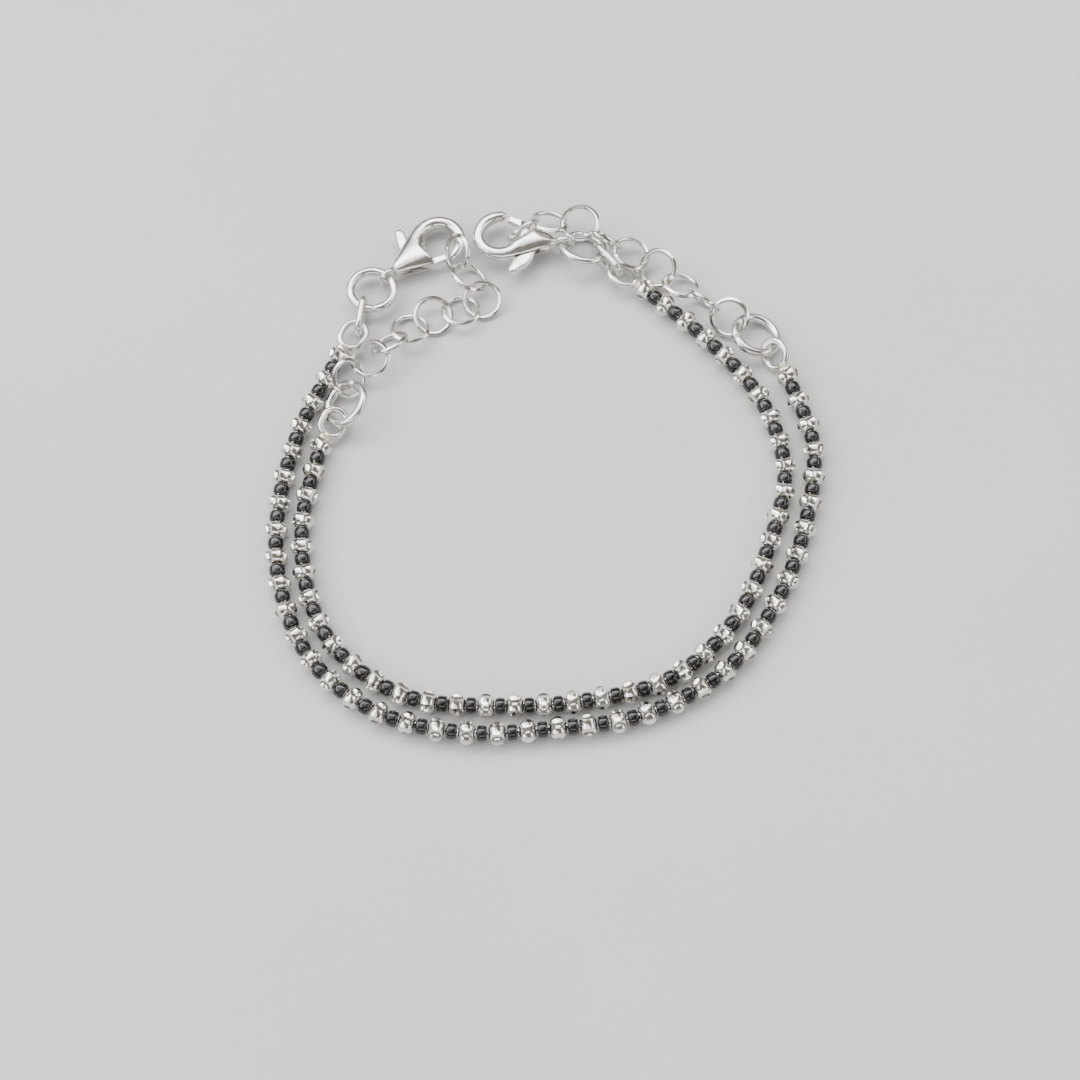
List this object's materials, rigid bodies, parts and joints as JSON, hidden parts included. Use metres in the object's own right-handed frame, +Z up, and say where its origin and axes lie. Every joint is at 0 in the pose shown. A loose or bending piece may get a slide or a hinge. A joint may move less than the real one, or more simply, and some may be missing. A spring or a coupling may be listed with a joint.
{
  "type": "beaded anklet",
  "caption": "Anklet of polished silver and black beads on thread, clasped into one loop by lobster clasps, jump rings and short extension chains, lying in two turns.",
  "frame": {"origin": "middle of the underside of the loop's box, on the surface that the anklet lies on", "axes": "+Z up from that surface, +Y from the bead strings towards the clasps, +X to the right as seen from the front"},
  "size_m": [0.072, 0.0762, 0.0053],
  "materials": {
    "silver_and_black_beads": "polished fluted silver beads with glossy black glass seed beads between them, on dark thread",
    "silver_end_beads": "polished silver with a soldered ring",
    "silver_links": "bright silver wire",
    "silver_clasps": "polished cast silver"
  },
  "bodies": {
    "anklet": {"bead_string_outer": "silver_and_black_beads", "bead_string_inner": "silver_and_black_beads", "end_bead_outer_left": "silver_end_beads", "end_bead_inner_left": "silver_end_beads", "end_bead_inner_right": "silver_end_beads", "end_bead_outer_right": "silver_end_beads", "connecting_link_left": "silver_links", "connecting_link_right": "silver_links", "clasp_ring_left": "silver_links", "chain_end_ring_left": "silver_links", "clasp_ring_right": "silver_links", "chain_end_ring_right": "silver_links", "chain_left_link_1": "silver_links", "chain_left_link_2": "silver_links", "chain_left_link_3": "silver_links", "chain_left_link_4": "silver_links", "chain_left_link_5": "silver_links", "chain_left_link_6": "silver_links", "chain_left_link_7": "silver_links", "chain_left_link_8": "silver_links", "chain_left_link_9": "silver_links", "chain_right_link_1": "silver_links", "chain_right_link_2": "silver_links", "chain_right_link_3": "silver_links", "chain_right_link_4": "silver_links", "chain_right_link_5": "silver_links", "chain_right_link_6": "silver_links", "chain_right_link_7": "silver_links", "chain_right_link_8": "silver_links", "chain_right_link_9": "silver_links", "clasp_body_left": "silver_clasps", "clasp_body_right": "silver_clasps"},
    "lever_left": {"clasp_lever_left": "silver_clasps"},
    "lever_right": {"clasp_lever_right": "silver_clasps"}
  },
  "joints": [
    {"name": "lever_left_hinge", "type": "hinge", "parent": "anklet", "child": "lever_left", "pos_m": [-0.01772, 0.03027, 0.0017], "axis": [0, 0, 1], "range_deg": [0, 25], "stiffness_Nm_per_rad": 0.0005, "springref_deg": -11.46},
    {"name": "lever_right_hinge", "type": "hinge", "parent": "anklet", "child": "lever_right", "pos_m": [-0.00184, 0.03354, 0.0022], "axis": [0, 0, 1], "range_deg": [0, 12], "stiffness_Nm_per_rad": 0.0005, "springref_deg": -11.46}
  ]
}
